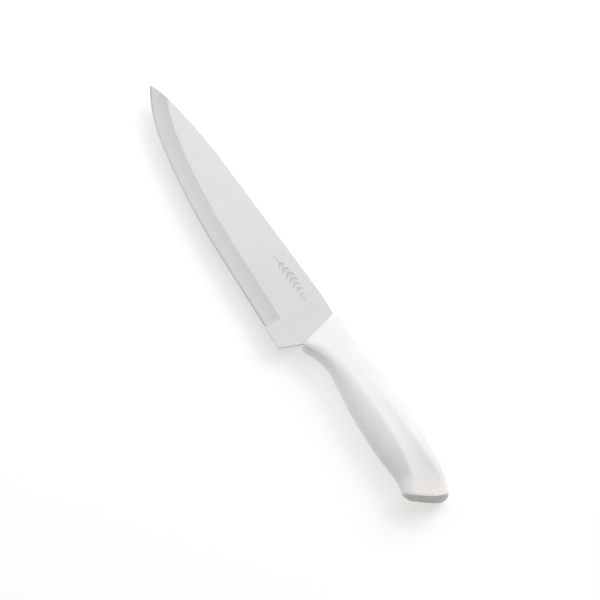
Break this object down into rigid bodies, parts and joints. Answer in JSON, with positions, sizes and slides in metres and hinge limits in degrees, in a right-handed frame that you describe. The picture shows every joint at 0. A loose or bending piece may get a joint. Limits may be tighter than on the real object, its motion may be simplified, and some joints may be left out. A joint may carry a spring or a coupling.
{
  "type": "chef knife",
  "caption": "Kitchen chef knife: stamped steel blade with a ground edge and full-height heel, in a moulded handle with a flared, slanted butt.",
  "frame": {"origin": "under the middle of the knife's bounding box, at the lowest point of the handle when the knife lies on its right side", "axes": "+X from the tip to the butt along the spine, +Y from the cutting edge to the spine, +Z out of the left side of the blade"},
  "size_m": [0.3392, 0.0464, 0.0197],
  "materials": {
    "blade_steel": "satin ground stainless steel",
    "handle_plastic": "fine-textured white polypropylene"
  },
  "bodies": {
    "root": {"blade": "blade_steel", "handle": "handle_plastic"}
  },
  "joints": []
}
